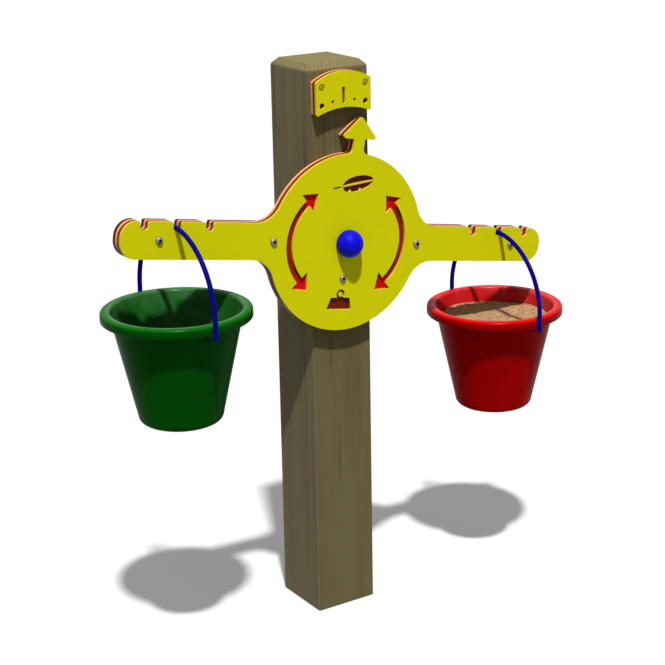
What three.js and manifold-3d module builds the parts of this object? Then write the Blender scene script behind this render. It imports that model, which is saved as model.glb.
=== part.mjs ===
// Bucket balance: a timber post carries a tipping beam with a bucket hung on each arm.
// Millimetres, +Z up, origin in the middle of the post's foot, front face towards -Y.
// The beam is modelled tipped onto its stop, right arm down, with both buckets hanging plumb.
import * as THREE from 'three';
import { mergeVertices } from 'three/addons/utils/BufferGeometryUtils.js';
import Module from 'manifold-3d';

const wasm = await Module();
wasm.setup();

// Clearances
const RUNNING_GAP = 0.3;
const FIT_GAP = 0.3;
const BORE_GAP = 0.5;

// Post
const POST_WIDTH = 125;
const POST_PAST_PLATE = 14.5;
const POST_CHAMFER = 12;
const HOUSING_GAP = 3;

// Beam boards
const PIVOT_HEIGHT = 723;
const STOP_ANGLE = THREE.MathUtils.degToRad(9.5);
const FRONT_BOARD = 19;
const REAR_BOARD = 9;
const BOARD_TO_POST = 1.7;
const DISC_RADIUS = 161.5;
const BEAM_HALF_LENGTH = 452;
const ARM_HALF_HEIGHT = 32.5;
const ARM_FILLET = 50;
const ARM_END_ROUND = 29;
const ENGRAVING_DEPTH = 5;

// Notches along the top of each arm, counted from its end
const NOTCH_FROM_END = 42;
const NOTCH_PITCH = 62.5;
const NOTCH_COUNT = 3;
const NOTCH_IN_USE = 1;
const NOTCH_DEPTH = 15;
const NOTCH_PLAY = 3.6;
const NOTCH_ROUND = 5;
const NOTCH_LIP = 4;
const BAIL_OFF_MIDDLE = 2.5;

// Pointer above the disc
const POINTER_STEM = 25.5;
const POINTER_HEAD = 40;
const POINTER_HALF_WIDTH = 39;
const POINTER_STEM_HALF = 11.3;
const POINTER_CORNER = 4;
const POINTER_FILLET = 9;

// Engraved double arrows on the disc
const ARROW_CENTRE = 25.5;
const ARROW_RADIUS = 96;
const ARROW_SHAFT = 13;
const ARROW_HALF_ANGLE = THREE.MathUtils.degToRad(46);
const ARROW_HEAD_LENGTH = 26.5;
const ARROW_HEAD_WIDTH = 42;

// Engraved signs: a feather above the pivot and a weight below it
const SIGN_HEIGHT = 106;
const FEATHER_LENGTH = 88;
const FEATHER_RIB = 2.4;
const FEATHER_SLOPE = THREE.MathUtils.degToRad(12);
const WEIGHT_BASE = 54;
const WEIGHT_TOP = 40;
const WEIGHT_TALL = 22;
const WEIGHT_LOWERED = 6;
const WEIGHT_RING = 9;
const WEIGHT_RING_HOLE = 4.5;

// Pivot hardware
const PIVOT_BOLT = 16;
const PIVOT_HEAD_ACROSS = 24;
const PIVOT_HEAD_TALL = 10;
const PIVOT_NUT_TALL = 13;
const PIVOT_TAIL = 4;
const BUSH_WALL = 4;
const WASHER_RADIUS = 15;
const WASHER_THICK = 3;
const THRUST_WASHER_THICK = 2;
const CAP_RADIUS = 25;
const CAP_STANDOFF = 8;

// Board bolts
const BOLT = 8;
const BOLT_HEAD = 14;
const BOLT_HEAD_TALL = 4.4;
const BOLT_SOCKET_ACROSS = 5;
const BOLT_SOCKET_DEEP = 2.5;
const BOLT_WASHER_RADIUS = 8;
const BOLT_WASHER_THICK = 1.6;
const NUT_ACROSS = 13;
const NUT_TALL = 6.5;
const BOLT_TAIL = 2;
const BOLT_FROM_END = 72;
const BOLT_FROM_RIM = 6.5;
const STOP_RADIUS = 65.4;
const STOP_ENGAGEMENT = 10;

// Scale plate
const PLATE_THICK = 18;
const PLATE_HALF_WIDTH = 57.2;
const PLATE_ABOVE_POINTER = 5.5;
const PLATE_SIDE = 60;
const PLATE_TOP_RISE = 16;
const PLATE_BOTTOM_RISE = 12;
const PLATE_CORNER = 3;
const SCALE_SLOT_WIDTH = 6;
const SCALE_SLOT_LOW = 17.5;
const SCALE_SLOT_HIGH = 48.5;
const SCALE_DOTS = [
  { across: 45.4, up: 18.5, radius: 5.2 },
  { across: 22.9, up: 23.5, radius: 2.9 },
];
const SCREW_ACROSS = 45.4;
const SCREW_UP = 51.5;
const SCREW = 5;
const SCREW_HEAD_RADIUS = 5;
const SCREW_HEAD_TALL = 3.5;
const SCREW_IN_POST = 36;
const SCREW_CAP_TALL = 3;
const SCREW_WELL_GAP = 1;

// Buckets and bails
const RIM_OVERHANG = 15.5;
const BUCKET_TALL = 203;
const BUCKET_TOP_RADIUS = 115.5;
const BUCKET_FOOT_RADIUS = 75;
const BUCKET_FOOT_ROUND = 14;
const BUCKET_WALL = 3;
const RIM_THICK = 3.5;
const RIM_ROUND = 6;
const SKIRT_TALL = 17;
const SKIRT_WALL = 3;
const EAR_DROP = 9;
const BAIL_ROD = 8.5;
const BAIL_RISE = 143;
const BAIL_TO_RIM = 1;
const BAIL_LEG_PAST_EAR = 15;
const PEG = 7;
const PEG_PAST_SKIRT = 4;

// Fineness of round shapes
const CHORD_ERROR = 0.15;
const ROUND_SIDES = 24;
const BUCKET_SIDES = 44;
const BAIL_SIDES = 10;
const BAIL_STEPS = 34;
const MERGE_DISTANCE = 1e-4;
const CUT_PAST = 1;

// Places that follow from the sizes above
const POST_FRONT = -POST_WIDTH / 2;
const POST_BACK = POST_WIDTH / 2;
const BOARD_SEAM = POST_FRONT - BOARD_TO_POST;
const BEAM_FRONT = BOARD_SEAM - FRONT_BOARD;
const BEAM_BACK = BOARD_SEAM + REAR_BOARD;
const BEAM_MIDDLE = (BEAM_FRONT + BEAM_BACK) / 2;
const HOUSING_FLOOR = BEAM_BACK + RUNNING_GAP + THRUST_WASHER_THICK;
const BUSH_RADIUS = PIVOT_BOLT / 2 + RUNNING_GAP + BUSH_WALL;
const POINTER_BASE = DISC_RADIUS + POINTER_STEM;
const POINTER_TIP = POINTER_BASE + POINTER_HEAD;
const PLATE_FRONT = POST_FRONT - PLATE_THICK;
const PLATE_FOOT = PIVOT_HEIGHT + POINTER_TIP + PLATE_ABOVE_POINTER;
const POST_HEIGHT = PLATE_FOOT + PLATE_SIDE + PLATE_TOP_RISE + POST_PAST_PLATE;
const BOLT_OUTER = BEAM_HALF_LENGTH - BOLT_FROM_END;
const BOLT_INNER = DISC_RADIUS - BOLT_FROM_RIM;
const NOTCH_HALF = BAIL_ROD / 2 + NOTCH_PLAY;
const RIM_RADIUS = BUCKET_TOP_RADIUS + RIM_OVERHANG;
const BAIL_RADIUS = RIM_RADIUS + BAIL_TO_RIM + BAIL_ROD / 2;
const BAIL_SAG = BAIL_RADIUS - Math.sqrt(BAIL_RADIUS ** 2 - ((FRONT_BOARD + REAR_BOARD) / 2) ** 2);
const NOTCHES = Array.from({ length: NOTCH_COUNT },
  (_, i) => BEAM_HALF_LENGTH - NOTCH_FROM_END - i * NOTCH_PITCH);
const HANG_ALONG = NOTCHES[NOTCH_IN_USE] + BAIL_OFF_MIDDLE;
const HANG_UP = ARM_HALF_HEIGHT - NOTCH_DEPTH + RUNNING_GAP + BAIL_ROD / 2 + BAIL_SAG;

const QUARTER = Math.PI / 2;
const HALF = Math.PI;

// Materials
const finish = (color, roughness, metalness = 0) =>
  new THREE.MeshStandardMaterial({ color, roughness, metalness });
const TIMBER = finish(0x73694d, 0.85);
const YELLOW_SHEET = finish(0xc6c005, 0.5);
const RED_SHEET = finish(0x6e1c0a, 0.55);
const BLUE_PLASTIC = finish(0x0c0cb4, 0.35);
const GREEN_PLASTIC = finish(0x0a5a12, 0.4);
const RED_PLASTIC = finish(0xa00808, 0.4);
const STEEL = finish(0x9a9a9c, 0.4, 0.9);
const BEARING_PLASTIC = finish(0xe0ddd2, 0.5);

// Solids: closed meshes that can be joined and cut
function toSolid(geometry) {
  const bare = new THREE.BufferGeometry();
  bare.setAttribute('position', geometry.getAttribute('position'));
  bare.setIndex(geometry.getIndex());
  const merged = mergeVertices(bare, MERGE_DISTANCE);
  const corners = merged.getIndex().array;
  const triangles = [];
  for (let i = 0; i < corners.length; i += 3) {
    const [a, b, c] = [corners[i], corners[i + 1], corners[i + 2]];
    if (a !== b && b !== c && c !== a) triangles.push(a, b, c);
  }
  const vertProperties = new Float32Array(merged.getAttribute('position').array);
  const triVerts = new Uint32Array(triangles);
  return new wasm.Manifold(new wasm.Mesh({ numProp: 3, vertProperties, triVerts }));
}

function toGeometry(solid) {
  const { vertProperties, triVerts } = solid.getMesh();
  const geometry = new THREE.BufferGeometry();
  geometry.setAttribute('position', new THREE.BufferAttribute(vertProperties, 3));
  geometry.setIndex(new THREE.BufferAttribute(triVerts, 1));
  geometry.computeVertexNormals();
  return geometry;
}

function join(...geometries) {
  const solids = geometries.map(toSolid);
  return toGeometry(solids.reduce((whole, next) => whole.add(next)));
}

function cut(geometry, tools) {
  return toGeometry(tools.map(toSolid).reduce((rest, tool) => rest.subtract(tool), toSolid(geometry)));
}

function piece(name, geometry, material, parent) {
  const mesh = new THREE.Mesh(toGeometry(toSolid(geometry)), material);
  mesh.name = name;
  parent.add(mesh);
}

// Shapes: outlines lie in the X-Z plane and solids run along Y
function arc(x, z, radius, from, to) {
  const step = 2 * Math.acos(1 - CHORD_ERROR / radius);
  const count = Math.max(2, Math.ceil(Math.abs(to - from) / step));
  const points = [];
  for (let i = 0; i <= count; i += 1) {
    const angle = from + ((to - from) * i) / count;
    points.push(new THREE.Vector2(x + radius * Math.cos(angle), z + radius * Math.sin(angle)));
  }
  return points;
}

function roundedCorner(before, corner, after, radius) {
  const inward = before.clone().sub(corner).normalize();
  const outward = after.clone().sub(corner).normalize();
  const halfAngle = Math.acos(inward.dot(outward)) / 2;
  const middle = inward.clone().add(outward).normalize();
  const centre = corner.clone().addScaledVector(middle, radius / Math.sin(halfAngle));
  const start = corner.clone().addScaledVector(inward, radius / Math.tan(halfAngle)).sub(centre);
  const end = corner.clone().addScaledVector(outward, radius / Math.tan(halfAngle)).sub(centre);
  const from = start.angle();
  const turn = Math.atan2(start.cross(end), start.dot(end));
  return arc(centre.x, centre.y, radius, from, from + turn);
}

const mirrored = (points) => points.map((point) => new THREE.Vector2(-point.x, point.y)).reverse();

function slab(points, front, back) {
  const shape = new THREE.Shape(points);
  const solid = new THREE.ExtrudeGeometry(shape, { depth: back - front, bevelEnabled: false });
  return solid.rotateX(QUARTER).translate(0, back, 0);
}

function rod(radius, front, back, x = 0, z = 0, sides = ROUND_SIDES) {
  const solid = new THREE.CylinderGeometry(radius, radius, back - front, sides);
  return solid.translate(x, (front + back) / 2, z);
}

function ring(outer, inner, front, back, x = 0, z = 0) {
  return cut(rod(outer, front, back, x, z), [rod(inner, front - CUT_PAST, back + CUT_PAST, x, z)]);
}

const hexagon = (across, front, back, x = 0, z = 0) => rod(across / Math.sqrt(3), front, back, x, z, 6);

function hexNut(across, bore, front, back, x = 0, z = 0) {
  const hole = rod(bore, front - CUT_PAST, back + CUT_PAST, x, z);
  return cut(hexagon(across, front, back, x, z), [hole]);
}

// Dome of a button head: shares of its width, out from its axis, and of its height
const HEAD_DOME = [[0.24, 1], [0.4, 0.72], [0.48, 0.34], [0.5, 0]];

// A button-head bolt: a domed head on the front face with a hexagon socket
function buttonBolt(shankEnd, x, z) {
  const profile = [
    new THREE.Vector2(0, BEAM_FRONT - BOLT_HEAD_TALL),
    ...HEAD_DOME.map(([out, up]) => new THREE.Vector2(BOLT_HEAD * out, BEAM_FRONT - BOLT_HEAD_TALL * up)),
    new THREE.Vector2(BOLT / 2, BEAM_FRONT),
    new THREE.Vector2(BOLT / 2, shankEnd),
    new THREE.Vector2(0, shankEnd),
  ];
  const body = new THREE.LatheGeometry(profile, ROUND_SIDES).translate(x, 0, z);
  const socketFloor = BEAM_FRONT - BOLT_HEAD_TALL + BOLT_SOCKET_DEEP;
  const socket = hexagon(BOLT_SOCKET_ACROSS, BEAM_FRONT - BOLT_HEAD_TALL - CUT_PAST, socketFloor, x, z);
  return cut(body, [socket]);
}

// Beam outline, right half, from the bottom of the disc round to the top
function armFillet() {
  const across = Math.sqrt((DISC_RADIUS + ARM_FILLET) ** 2 - (ARM_HALF_HEIGHT + ARM_FILLET) ** 2);
  return { across, angle: Math.atan2(ARM_HALF_HEIGHT + ARM_FILLET, across) };
}

function notch(along) {
  const floor = ARM_HALF_HEIGHT - NOTCH_DEPTH + NOTCH_ROUND;
  const flat = NOTCH_HALF - NOTCH_ROUND;
  const lip = NOTCH_HALF + NOTCH_LIP;
  return [
    ...arc(along + lip, ARM_HALF_HEIGHT - NOTCH_LIP, NOTCH_LIP, QUARTER, HALF),
    ...arc(along + flat, floor, NOTCH_ROUND, 0, -QUARTER),
    ...arc(along - flat, floor, NOTCH_ROUND, -QUARTER, -HALF),
    ...arc(along - lip, ARM_HALF_HEIGHT - NOTCH_LIP, NOTCH_LIP, 0, QUARTER),
  ];
}

function armEnd() {
  const endAlong = BEAM_HALF_LENGTH - ARM_END_ROUND;
  const endUp = ARM_HALF_HEIGHT - ARM_END_ROUND;
  return [
    ...arc(endAlong, -endUp, ARM_END_ROUND, -QUARTER, 0),
    ...arc(endAlong, endUp, ARM_END_ROUND, 0, QUARTER),
    ...NOTCHES.flatMap(notch),
  ];
}

function armOutline() {
  const { across, angle } = armFillet();
  return [
    ...arc(0, 0, DISC_RADIUS, -QUARTER, -angle),
    ...arc(across, -ARM_HALF_HEIGHT - ARM_FILLET, ARM_FILLET, HALF - angle, QUARTER),
    ...armEnd(),
    ...arc(across, ARM_HALF_HEIGHT + ARM_FILLET, ARM_FILLET, -QUARTER, angle - HALF),
  ];
}

function pointerOutline() {
  const { angle } = armFillet();
  const filletAcross = POINTER_STEM_HALF + POINTER_FILLET;
  const filletUp = Math.sqrt((DISC_RADIUS + POINTER_FILLET) ** 2 - filletAcross ** 2);
  const discEnd = Math.atan2(filletUp, filletAcross);
  const stemTop = new THREE.Vector2(POINTER_STEM_HALF, POINTER_BASE);
  const corner = new THREE.Vector2(POINTER_HALF_WIDTH, POINTER_BASE);
  const tip = new THREE.Vector2(0, POINTER_TIP);
  const farCorner = new THREE.Vector2(-POINTER_HALF_WIDTH, POINTER_BASE);
  const tipArc = roundedCorner(corner, tip, farCorner, POINTER_CORNER);
  return [
    ...arc(0, 0, DISC_RADIUS, angle, discEnd),
    ...arc(filletAcross, filletUp, POINTER_FILLET, HALF + discEnd, HALF),
    stemTop,
    ...roundedCorner(stemTop, corner, tip, POINTER_CORNER),
    ...tipArc.slice(0, Math.ceil(tipArc.length / 2)),
  ];
}

function wholeOutline(half) {
  const seen = [];
  for (const point of [...half, ...mirrored(half)]) {
    const last = seen[seen.length - 1];
    if (!last || last.distanceTo(point) > MERGE_DISTANCE) seen.push(point);
  }
  if (seen[0].distanceTo(seen[seen.length - 1]) <= MERGE_DISTANCE) seen.pop();
  return seen;
}

// Engravings
function arrowOutline(side) {
  const polar = (radius, angle, ahead = 0) => new THREE.Vector2(
    side * (ARROW_CENTRE + radius * Math.cos(angle) - ahead * Math.sin(angle)),
    radius * Math.sin(angle) + ahead * Math.cos(angle),
  );
  const turned = (points) => points.map((p) => new THREE.Vector2(side * (ARROW_CENTRE + p.x), p.y));
  const outer = arc(0, 0, ARROW_RADIUS + ARROW_SHAFT / 2, -ARROW_HALF_ANGLE, ARROW_HALF_ANGLE);
  const inner = arc(0, 0, ARROW_RADIUS - ARROW_SHAFT / 2, ARROW_HALF_ANGLE, -ARROW_HALF_ANGLE);
  const head = ARROW_HEAD_WIDTH / 2;
  return [
    ...turned(outer),
    polar(ARROW_RADIUS + head, ARROW_HALF_ANGLE),
    polar(ARROW_RADIUS, ARROW_HALF_ANGLE, ARROW_HEAD_LENGTH),
    polar(ARROW_RADIUS - head, ARROW_HALF_ANGLE),
    ...turned(inner),
    polar(ARROW_RADIUS - head, -ARROW_HALF_ANGLE),
    polar(ARROW_RADIUS, -ARROW_HALF_ANGLE, -ARROW_HEAD_LENGTH),
    polar(ARROW_RADIUS + head, -ARROW_HALF_ANGLE),
  ];
}

// Places along and across the feather are shares of its length
const FEATHER_UPPER = [
  [0.48, 0], [0.43, 0.07], [0.28, 0.13], [0.08, 0.15],
  [-0.1, 0.13], [-0.22, 0.08], [-0.28, 0],
];
const FEATHER_LOWER = [
  [-0.28, 0], [-0.24, -0.08], [-0.13, -0.13], [-0.1, -0.08], [-0.06, -0.145],
  [0.12, -0.15], [0.15, -0.09], [0.2, -0.14], [0.36, -0.09], [0.48, 0],
];
const FEATHER_QUILL = [[-0.5, -0.018], [-0.32, -0.018], [-0.32, 0.018], [-0.5, 0.018]];

function featherOutline(places, offRib) {
  const centre = new THREE.Vector2();
  return places.map(([along, across]) => {
    const point = new THREE.Vector2(along, across).multiplyScalar(FEATHER_LENGTH);
    point.y += offRib;
    point.rotateAround(centre, FEATHER_SLOPE);
    point.y += SIGN_HEIGHT;
    return point;
  });
}

function weightOutline() {
  const foot = -SIGN_HEIGHT - WEIGHT_TALL / 2 - WEIGHT_LOWERED;
  return [
    new THREE.Vector2(-WEIGHT_BASE / 2, foot),
    new THREE.Vector2(WEIGHT_BASE / 2, foot),
    new THREE.Vector2(WEIGHT_TOP / 2, foot + WEIGHT_TALL),
    new THREE.Vector2(-WEIGHT_TOP / 2, foot + WEIGHT_TALL),
  ];
}

function engravings() {
  const front = BEAM_FRONT - CUT_PAST;
  const floor = BEAM_FRONT + ENGRAVING_DEPTH;
  const ringUp = -SIGN_HEIGHT + WEIGHT_TALL / 2;
  return [
    slab(arrowOutline(1), front, floor),
    slab(arrowOutline(-1).reverse(), front, floor),
    slab(featherOutline(FEATHER_UPPER, FEATHER_RIB / 2), front, floor),
    slab(featherOutline(FEATHER_LOWER, -FEATHER_RIB / 2), front, floor),
    slab(featherOutline(FEATHER_QUILL, 0), front, floor),
    slab(weightOutline(), front, floor),
    ring(WEIGHT_RING, WEIGHT_RING_HOLE, front, floor, 0, ringUp),
  ];
}

// Bolt places on the beam, as seen from the front
const CLAMP_BOLTS = [
  { name: 'left_outer', x: -BOLT_OUTER },
  { name: 'left_inner', x: -BOLT_INNER },
  { name: 'right_inner', x: BOLT_INNER },
  { name: 'right_outer', x: BOLT_OUTER },
];

function boardHoles(front, back) {
  const holes = CLAMP_BOLTS.map(({ x }) => rod(BOLT / 2 + FIT_GAP, front, back, x, 0));
  return [...holes, rod(BUSH_RADIUS + FIT_GAP, front, back)];
}

// The front board is disc, arms and pointer in one; the rear board is a straight bar behind the arms
function addBeam(parent) {
  const beam = new THREE.Group();
  beam.position.set(0, 0, PIVOT_HEIGHT);
  beam.rotation.y = STOP_ANGLE;
  parent.add(beam);

  const holes = boardHoles(BEAM_FRONT - CUT_PAST, BEAM_BACK + CUT_PAST);
  const stopHole = rod(BOLT / 2 + FIT_GAP, BEAM_FRONT - CUT_PAST, BOARD_SEAM + CUT_PAST, 0, -STOP_RADIUS);
  const frontBoard = slab(wholeOutline([...armOutline(), ...pointerOutline()]), BEAM_FRONT, BOARD_SEAM);
  piece('front_board', cut(frontBoard, [...holes, stopHole, ...engravings()]), YELLOW_SHEET, beam);
  const rearBoard = slab(wholeOutline(armEnd()), BOARD_SEAM, BEAM_BACK);
  piece('rear_board', cut(rearBoard, holes), RED_SHEET, beam);
  piece('pivot_bush', ring(BUSH_RADIUS, PIVOT_BOLT / 2 + RUNNING_GAP, BEAM_FRONT, BEAM_BACK),
    BEARING_PLASTIC, beam);

  const washerBack = BEAM_BACK + BOLT_WASHER_THICK;
  const nutBack = washerBack + NUT_TALL;
  for (const { name, x } of CLAMP_BOLTS) {
    piece(`clamp_bolt_${name}`, buttonBolt(nutBack + BOLT_TAIL, x, 0), STEEL, beam);
    piece(`clamp_washer_${name}`, ring(BOLT_WASHER_RADIUS, BOLT / 2 + FIT_GAP, BEAM_BACK, washerBack, x),
      STEEL, beam);
    piece(`clamp_nut_${name}`, hexNut(NUT_ACROSS, BOLT / 2 + FIT_GAP, washerBack, nutBack, x), STEEL, beam);
  }
  const stopTip = HOUSING_FLOOR + STOP_ENGAGEMENT - RUNNING_GAP;
  piece('stop_bolt', buttonBolt(stopTip, 0, -STOP_RADIUS), STEEL, beam);
  const stopNutBack = BOARD_SEAM + NUT_TALL;
  const stopNut = hexNut(NUT_ACROSS, BOLT / 2 + FIT_GAP, BOARD_SEAM, stopNutBack, 0, -STOP_RADIUS);
  piece('stop_nut', stopNut, STEEL, beam);
}

// A curved slot below the pivot, as long as the way of the stop bolt
function stopSlot(half, front, back) {
  const low = -QUARTER - STOP_ANGLE;
  const high = -QUARTER + STOP_ANGLE;
  const end = (angle) => [STOP_RADIUS * Math.cos(angle), STOP_RADIUS * Math.sin(angle)];
  const outline = [
    ...arc(0, 0, STOP_RADIUS + half, low, high),
    ...arc(...end(high), half, high, high + HALF).slice(1, -1),
    ...arc(0, 0, STOP_RADIUS - half, high, low),
    ...arc(...end(low), half, low + HALF, low + 2 * HALF).slice(1, -1),
  ];
  return slab(outline, front, back).translate(0, 0, PIVOT_HEIGHT);
}

// The rear board runs in a housing across the post, the stop bolt's nut and tail in slots below it.
// The slot of the tail ends where the beam may tip no further.
function postCuts() {
  const swing = (POST_WIDTH / 2) * Math.tan(STOP_ANGLE) + ARM_HALF_HEIGHT / Math.cos(STOP_ANGLE);
  const side = POST_WIDTH / 2 + CUT_PAST;
  const low = PIVOT_HEIGHT - swing - HOUSING_GAP;
  const high = PIVOT_HEIGHT + swing + HOUSING_GAP;
  const corners = [[-side, low], [side, low], [side, high], [-side, high]];
  const outline = corners.map(([x, z]) => new THREE.Vector2(x, z));
  const tailHalf = BOLT / 2 + RUNNING_GAP;
  const nutHalf = NUT_ACROSS / Math.sqrt(3) + HOUSING_GAP;
  return [
    slab(outline, POST_FRONT - CUT_PAST, HOUSING_FLOOR),
    stopSlot(nutHalf, POST_FRONT - CUT_PAST, HOUSING_FLOOR),
    stopSlot(tailHalf, HOUSING_FLOOR - CUT_PAST, HOUSING_FLOOR + STOP_ENGAGEMENT),
    rod(PIVOT_BOLT / 2 + BORE_GAP, POST_FRONT, POST_BACK + CUT_PAST, 0, PIVOT_HEIGHT),
  ];
}

function addPost(parent) {
  const half = POST_WIDTH / 2;
  const side = [
    new THREE.Vector2(-half, 0),
    new THREE.Vector2(half, 0),
    new THREE.Vector2(half, POST_HEIGHT - POST_CHAMFER),
    new THREE.Vector2(half - POST_CHAMFER, POST_HEIGHT),
    new THREE.Vector2(POST_CHAMFER - half, POST_HEIGHT),
    new THREE.Vector2(-half, POST_HEIGHT - POST_CHAMFER),
  ];
  const across = slab(side, POST_FRONT, POST_BACK);
  const along = slab(side, POST_FRONT, POST_BACK).rotateZ(QUARTER);
  const square = toGeometry(toSolid(across).intersect(toSolid(along)));
  const pilots = [-1, 1].map((way) => rod(SCREW / 2 + FIT_GAP, POST_FRONT - CUT_PAST,
    POST_FRONT + SCREW_IN_POST + FIT_GAP, way * SCREW_ACROSS, PLATE_FOOT + SCREW_UP));
  piece('post', cut(square, [...postCuts(), ...pilots]), TIMBER, parent);
}

function addPivot(parent) {
  const pivot = new THREE.Group();
  pivot.position.set(0, 0, PIVOT_HEIGHT);
  parent.add(pivot);
  const shank = PIVOT_BOLT / 2;
  const washerBack = BEAM_FRONT - RUNNING_GAP;
  const headBack = washerBack - WASHER_THICK;
  const nutFront = POST_BACK + WASHER_THICK;
  const nutBack = nutFront + PIVOT_NUT_TALL;
  const head = hexagon(PIVOT_HEAD_ACROSS, headBack - PIVOT_HEAD_TALL, headBack);
  const tail = rod(shank, headBack - PIVOT_HEAD_TALL / 2, nutBack + PIVOT_TAIL);
  piece('pivot_bolt', join(head, tail), STEEL, pivot);
  piece('front_washer', ring(WASHER_RADIUS, shank + FIT_GAP, headBack, washerBack), STEEL, pivot);
  const thrustFront = HOUSING_FLOOR - THRUST_WASHER_THICK;
  const thrustWasher = ring(WASHER_RADIUS, shank + FIT_GAP, thrustFront, HOUSING_FLOOR);
  piece('thrust_washer', thrustWasher, BEARING_PLASTIC, pivot);
  piece('rear_washer', ring(WASHER_RADIUS, shank + FIT_GAP, POST_BACK, nutFront), STEEL, pivot);
  piece('pivot_nut', hexNut(PIVOT_HEAD_ACROSS, shank + FIT_GAP, nutFront, nutBack), STEEL, pivot);

  const frontWell = WASHER_THICK + PIVOT_HEAD_TALL + FIT_GAP;
  const rearWell = WASHER_THICK + PIVOT_NUT_TALL + PIVOT_TAIL + FIT_GAP;
  piece('ball_cap', ballCap(frontWell).rotateX(HALF).translate(0, washerBack, 0), BLUE_PLASTIC, pivot);
  piece('rear_cap', ballCap(rearWell).translate(0, POST_BACK, 0), BLUE_PLASTIC, pivot);
}

// A ball with a flat foot at y = 0 and a well that snaps over the washer and clears the bolt
function ballCap(wellDeep) {
  const footAngle = -Math.asin(CAP_STANDOFF / CAP_RADIUS);
  const ball = arc(0, CAP_STANDOFF, CAP_RADIUS, footAngle, QUARTER);
  ball[ball.length - 1].x = 0;
  const profile = [new THREE.Vector2(0, 0), ...ball];
  const dome = new THREE.LatheGeometry(profile, ROUND_SIDES);
  return cut(dome, [rod(WASHER_RADIUS + FIT_GAP, -CUT_PAST, wellDeep)]);
}

// Scale plate: level arcs above and below, a slot for level and dots to either side
function plateArc(up, rise) {
  const radius = (PLATE_HALF_WIDTH ** 2 + rise ** 2) / (2 * rise);
  const half = Math.asin(PLATE_HALF_WIDTH / radius);
  return arc(0, up + rise - radius, radius, QUARTER - half, QUARTER + half);
}

function addScale(parent) {
  const scale = new THREE.Group();
  scale.position.set(0, 0, PLATE_FOOT);
  parent.add(scale);
  const top = plateArc(PLATE_SIDE, PLATE_TOP_RISE);
  const bottom = plateArc(0, PLATE_BOTTOM_RISE).reverse();
  const edges = [...top, ...bottom];
  const corners = new Set([0, top.length - 1, top.length, edges.length - 1]);
  const outline = edges.flatMap((point, i) => {
    if (!corners.has(i)) return [point];
    const before = edges[(i + edges.length - 1) % edges.length];
    return roundedCorner(before, point, edges[(i + 1) % edges.length], PLATE_CORNER);
  });
  const floor = PLATE_FRONT + ENGRAVING_DEPTH;
  const front = PLATE_FRONT - CUT_PAST;
  const slotHalf = SCALE_SLOT_WIDTH / 2;
  const cuts = [slab([
    ...arc(0, SCALE_SLOT_LOW + slotHalf, slotHalf, -HALF, 0),
    ...arc(0, SCALE_SLOT_HIGH - slotHalf, slotHalf, 0, HALF),
  ], front, floor)];
  const headFront = PLATE_FRONT + SCREW_CAP_TALL;
  const headBack = headFront + SCREW_HEAD_TALL;
  for (const way of [-1, 1]) {
    for (const { across, up, radius } of SCALE_DOTS) cuts.push(rod(radius, front, floor, way * across, up));
    const x = way * SCREW_ACROSS;
    cuts.push(rod(SCREW_HEAD_RADIUS + SCREW_WELL_GAP, front, headBack, x, SCREW_UP));
    cuts.push(rod(SCREW / 2 + FIT_GAP, front, POST_FRONT + CUT_PAST, x, SCREW_UP));
  }
  piece('scale_plate', cut(slab(outline, PLATE_FRONT, POST_FRONT), cuts), YELLOW_SHEET, scale);
  for (const way of [-1, 1]) {
    const side = way < 0 ? 'left' : 'right';
    const x = way * SCREW_ACROSS;
    const head = rod(SCREW_HEAD_RADIUS, headFront, headBack, x, SCREW_UP);
    const shank = rod(SCREW / 2, headFront + SCREW_HEAD_TALL / 2, POST_FRONT + SCREW_IN_POST, x, SCREW_UP);
    piece(`scale_screw_${side}`, join(head, shank), STEEL, scale);
    const cap = rod(SCREW_HEAD_RADIUS, PLATE_FRONT, headFront, x, SCREW_UP);
    piece(`screw_cap_${side}`, cap, YELLOW_SHEET, scale);
  }
}

// Bail and bucket hang below a notch; their group's origin is the middle of the bail's top
function bail() {
  const leg = BAIL_RISE - BAIL_RADIUS + EAR_DROP + BAIL_LEG_PAST_EAR;
  const foot = -BAIL_RADIUS - leg;
  const path = new THREE.CurvePath();
  const at = (y, z) => new THREE.Vector3(0, y, z);
  class Arch extends THREE.Curve {
    getPoint(t, target = new THREE.Vector3()) {
      const angle = HALF * (1 - t);
      return target.set(0, BAIL_RADIUS * Math.cos(angle), BAIL_RADIUS * (Math.sin(angle) - 1));
    }
  }
  path.add(new THREE.LineCurve3(at(-BAIL_RADIUS, foot), at(-BAIL_RADIUS, -BAIL_RADIUS)));
  path.add(new Arch());
  path.add(new THREE.LineCurve3(at(BAIL_RADIUS, -BAIL_RADIUS), at(BAIL_RADIUS, foot)));
  const section = new THREE.Shape().absarc(0, 0, BAIL_ROD / 2, 0, 2 * HALF);
  const curveSegments = BAIL_SIDES / 2;
  const tube = new THREE.ExtrudeGeometry(section, { steps: BAIL_STEPS, curveSegments, extrudePath: path });
  const ear = -BAIL_RISE - EAR_DROP;
  const pegTip = RIM_RADIUS - SKIRT_WALL - PEG_PAST_SKIRT;
  return join(tube, rod(PEG / 2, -BAIL_RADIUS, -pegTip, 0, ear), rod(PEG / 2, pegTip, BAIL_RADIUS, 0, ear));
}

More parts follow.
